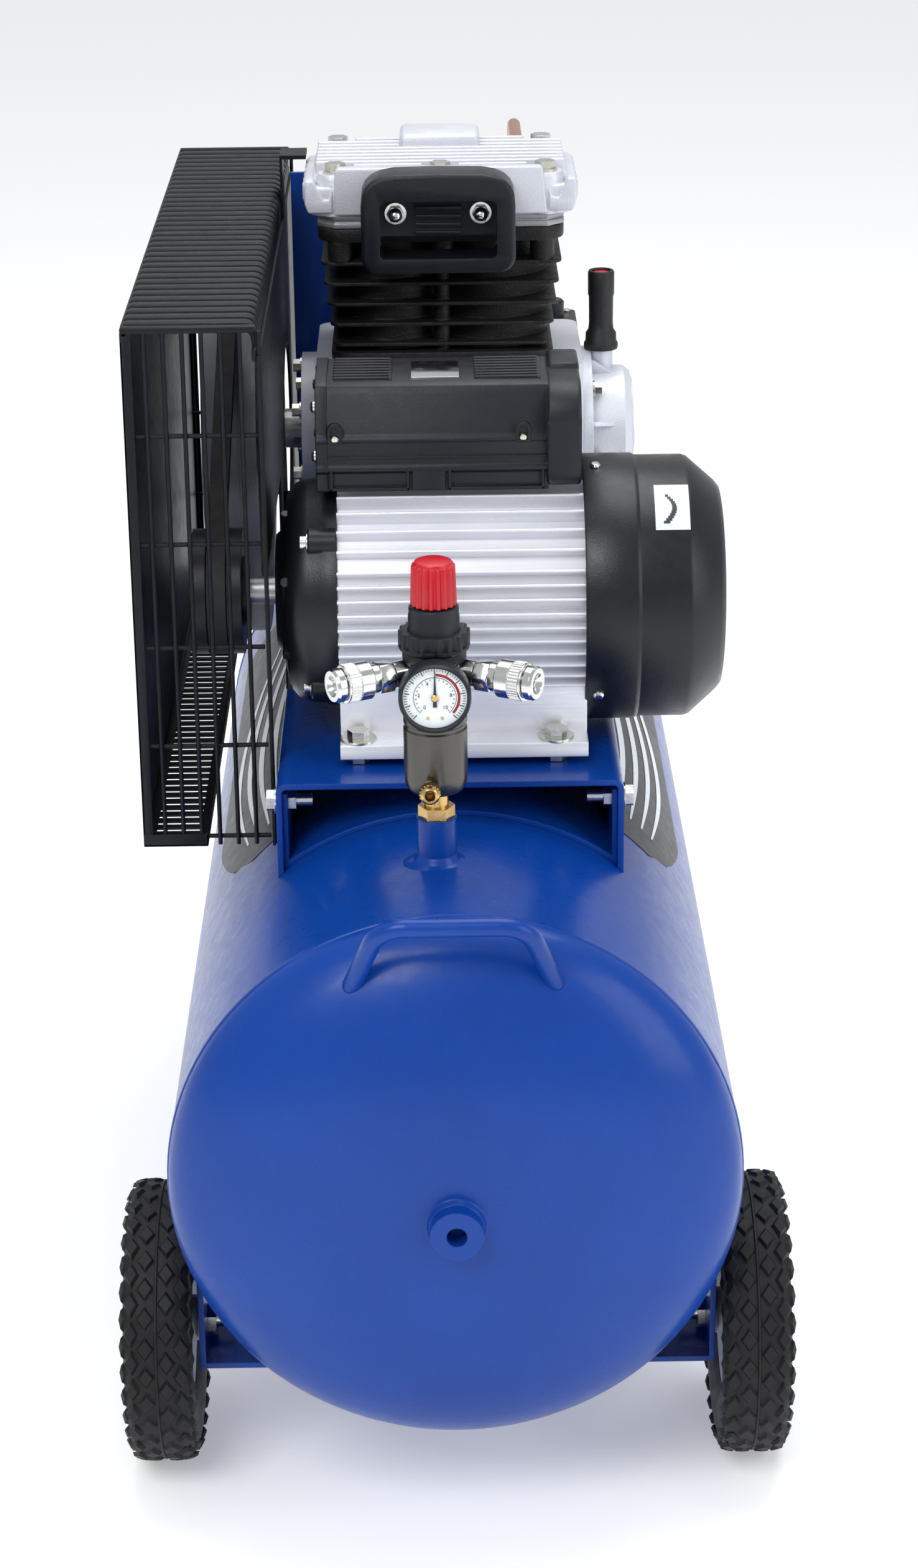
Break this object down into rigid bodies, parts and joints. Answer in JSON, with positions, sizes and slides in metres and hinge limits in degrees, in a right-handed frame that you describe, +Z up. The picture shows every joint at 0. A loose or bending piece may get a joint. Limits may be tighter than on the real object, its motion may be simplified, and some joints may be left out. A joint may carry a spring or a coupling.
{
  "type": "air compressor",
  "caption": "Belt-driven piston air compressor on a wheeled horizontal receiver, with motor, guarded belt, twin-cylinder pump and filter regulator.",
  "frame": {"origin": "on the floor, below the middle of the receiver", "axes": "+X across to the fan end of the motor, +Y along the receiver away from the regulator, +Z up"},
  "size_m": [0.444, 1.01, 0.808],
  "materials": {
    "tank_blue": "gloss powder coat",
    "guard_black": "satin black powder coat",
    "motor_black": "satin black paint",
    "cast_black": "matt black paint on iron",
    "cast_aluminium": "cast, lightly blasted",
    "extruded_aluminium": "extruded, bright",
    "zinc": "zinc plated",
    "chrome": "polished nickel chrome",
    "steel": "ground steel",
    "flywheel_grey": "machined cast iron",
    "brass": "machined brass",
    "red_plastic": "moulded, satin",
    "black_plastic": "moulded, fine grain",
    "bowl_grey": "dark metallic",
    "rubber": "matt",
    "tyre": "solid rubber tread",
    "rim_grey": "painted steel",
    "copper_line": "drawn tube"
  },
  "bodies": {
    "root": {"tank": "tank_blue", "tank_bungs": "tank_blue", "carry_handles": "tank_blue", "wheel_brackets": "tank_blue", "rear_foot_bracket": "tank_blue", "rubber_feet": "rubber", "saddle": "tank_blue", "saddle_cradles": "tank_blue", "motor_housing": "extruded_aluminium", "motor_end_shield": "motor_black", "motor_rear_shield": "cast_aluminium", "stator": "steel", "fan_cowl": "motor_black", "control_box": "black_plastic", "capacitors": "black_plastic", "drive_belt": "rubber", "crankcase": "cast_aluminium", "crankcase_cover": "cast_aluminium", "breather": "black_plastic", "shaft_bearings": "steel", "cylinder_block": "cast_black", "valve_plate": "cast_black", "cylinder_head": "cast_aluminium", "intake_filter": "black_plastic", "hex_bolts": "zinc", "guard_shell": "guard_black", "guard_grille": "guard_black", "guard_inner_panel": "guard_black", "guard_stay": "tank_blue", "brass_nipple": "brass", "filter_bowl": "bowl_grey", "regulator_body": "black_plastic", "regulator_collar": "black_plastic", "gauge_case": "black_plastic", "coupler_bodies": "chrome", "pressure_switch": "black_plastic", "cable_gland": "black_plastic", "safety_valve": "brass", "delivery_line": "copper_line"},
    "wheel_left": {"wheel_rim_left": "rim_grey", "tyre_left": "tyre"},
    "wheel_right": {"wheel_rim_right": "rim_grey", "tyre_right": "tyre"},
    "crank": {"crankshaft": "steel", "flywheel": "flywheel_grey"},
    "motor": {"motor_rotor": "steel", "cooling_fan": "black_plastic", "motor_pulley": "motor_black"},
    "piston_1": {"connecting_rod_1": "steel", "piston_1": "cast_aluminium"},
    "piston_2": {"connecting_rod_2": "steel", "piston_2": "cast_aluminium"},
    "knob": {"regulator_knob": "red_plastic"},
    "needle": {"gauge_needle": "black_plastic"},
    "sleeve_left": {"coupler_sleeve_left": "chrome"},
    "sleeve_right": {"coupler_sleeve_right": "chrome"},
    "petcock": {"drain_petcock": "brass"},
    "switch": {"switch_button": "black_plastic"},
    "safety": {"safety_pull": "zinc"},
    "tank_drain": {"drain_screw": "brass"}
  },
  "joints": [
    {"name": "wheel_left_spin", "type": "hinge", "parent": "root", "child": "wheel_left", "pos_m": [-0.199, -0.335, 0.096], "axis": [1, 0, 0], "continuous": true},
    {"name": "wheel_right_spin", "type": "hinge", "parent": "root", "child": "wheel_right", "pos_m": [0.199, -0.335, 0.096], "axis": [1, 0, 0], "continuous": true},
    {"name": "crank_spin", "type": "hinge", "parent": "root", "child": "crank", "pos_m": [-0.156, 0.165, 0.585], "axis": [1, 0, 0], "continuous": true},
    {"name": "motor_spin", "type": "hinge", "parent": "root", "child": "motor", "pos_m": [-0.156, -0.147, 0.557], "axis": [1, 0, 0], "continuous": true},
    {"name": "piston_1_travel", "type": "slide", "parent": "root", "child": "piston_1", "axis": [0, 0, 1], "range_m": [-0.046, 0]},
    {"name": "piston_2_travel", "type": "slide", "parent": "root", "child": "piston_2", "axis": [0, 0, 1], "range_m": [0, 0.046]},
    {"name": "pressure_knob", "type": "hinge", "parent": "root", "child": "knob", "pos_m": [-0.009, -0.3365, 0.62], "axis": [0, 0, 1], "range_deg": [-720, 720]},
    {"name": "gauge_needle_swing", "type": "hinge", "parent": "root", "child": "needle", "pos_m": [-0.009, -0.3725, 0.559], "axis": [0, -1, 0], "range_deg": [-135, 135]},
    {"name": "sleeve_left_release", "type": "slide", "parent": "root", "child": "sleeve_left", "axis": [-0.8829, -0.4695, 0], "range_m": [-0.005, 0], "stiffness_N_per_m": 1500},
    {"name": "sleeve_right_release", "type": "slide", "parent": "root", "child": "sleeve_right", "axis": [0.8829, -0.4695, 0], "range_m": [-0.005, 0], "stiffness_N_per_m": 1500},
    {"name": "petcock_turn", "type": "hinge", "parent": "root", "child": "petcock", "pos_m": [-0.013, -0.3665, 0.492], "axis": [0, -1, 0], "range_deg": [0, 360]},
    {"name": "switch_pull", "type": "slide", "parent": "root", "child": "switch", "axis": [0, 0, 1], "range_m": [0, 0.006]},
    {"name": "safety_valve_pull", "type": "slide", "parent": "root", "child": "safety", "axis": [1, 0, 0], "range_m": [0, 0.004], "stiffness_N_per_m": 3000},
    {"name": "tank_drain_turn", "type": "hinge", "parent": "root", "child": "tank_drain", "pos_m": [0, 0, 0.055], "axis": [0, 0, 1], "range_deg": [0, 360]}
  ],
  "couplings": [
    {"joint": "motor_spin", "follows": "crank_spin", "ratio": 3.9091},
    {"joint": "piston_2_travel", "follows": "piston_1_travel", "ratio": -1}
  ]
}
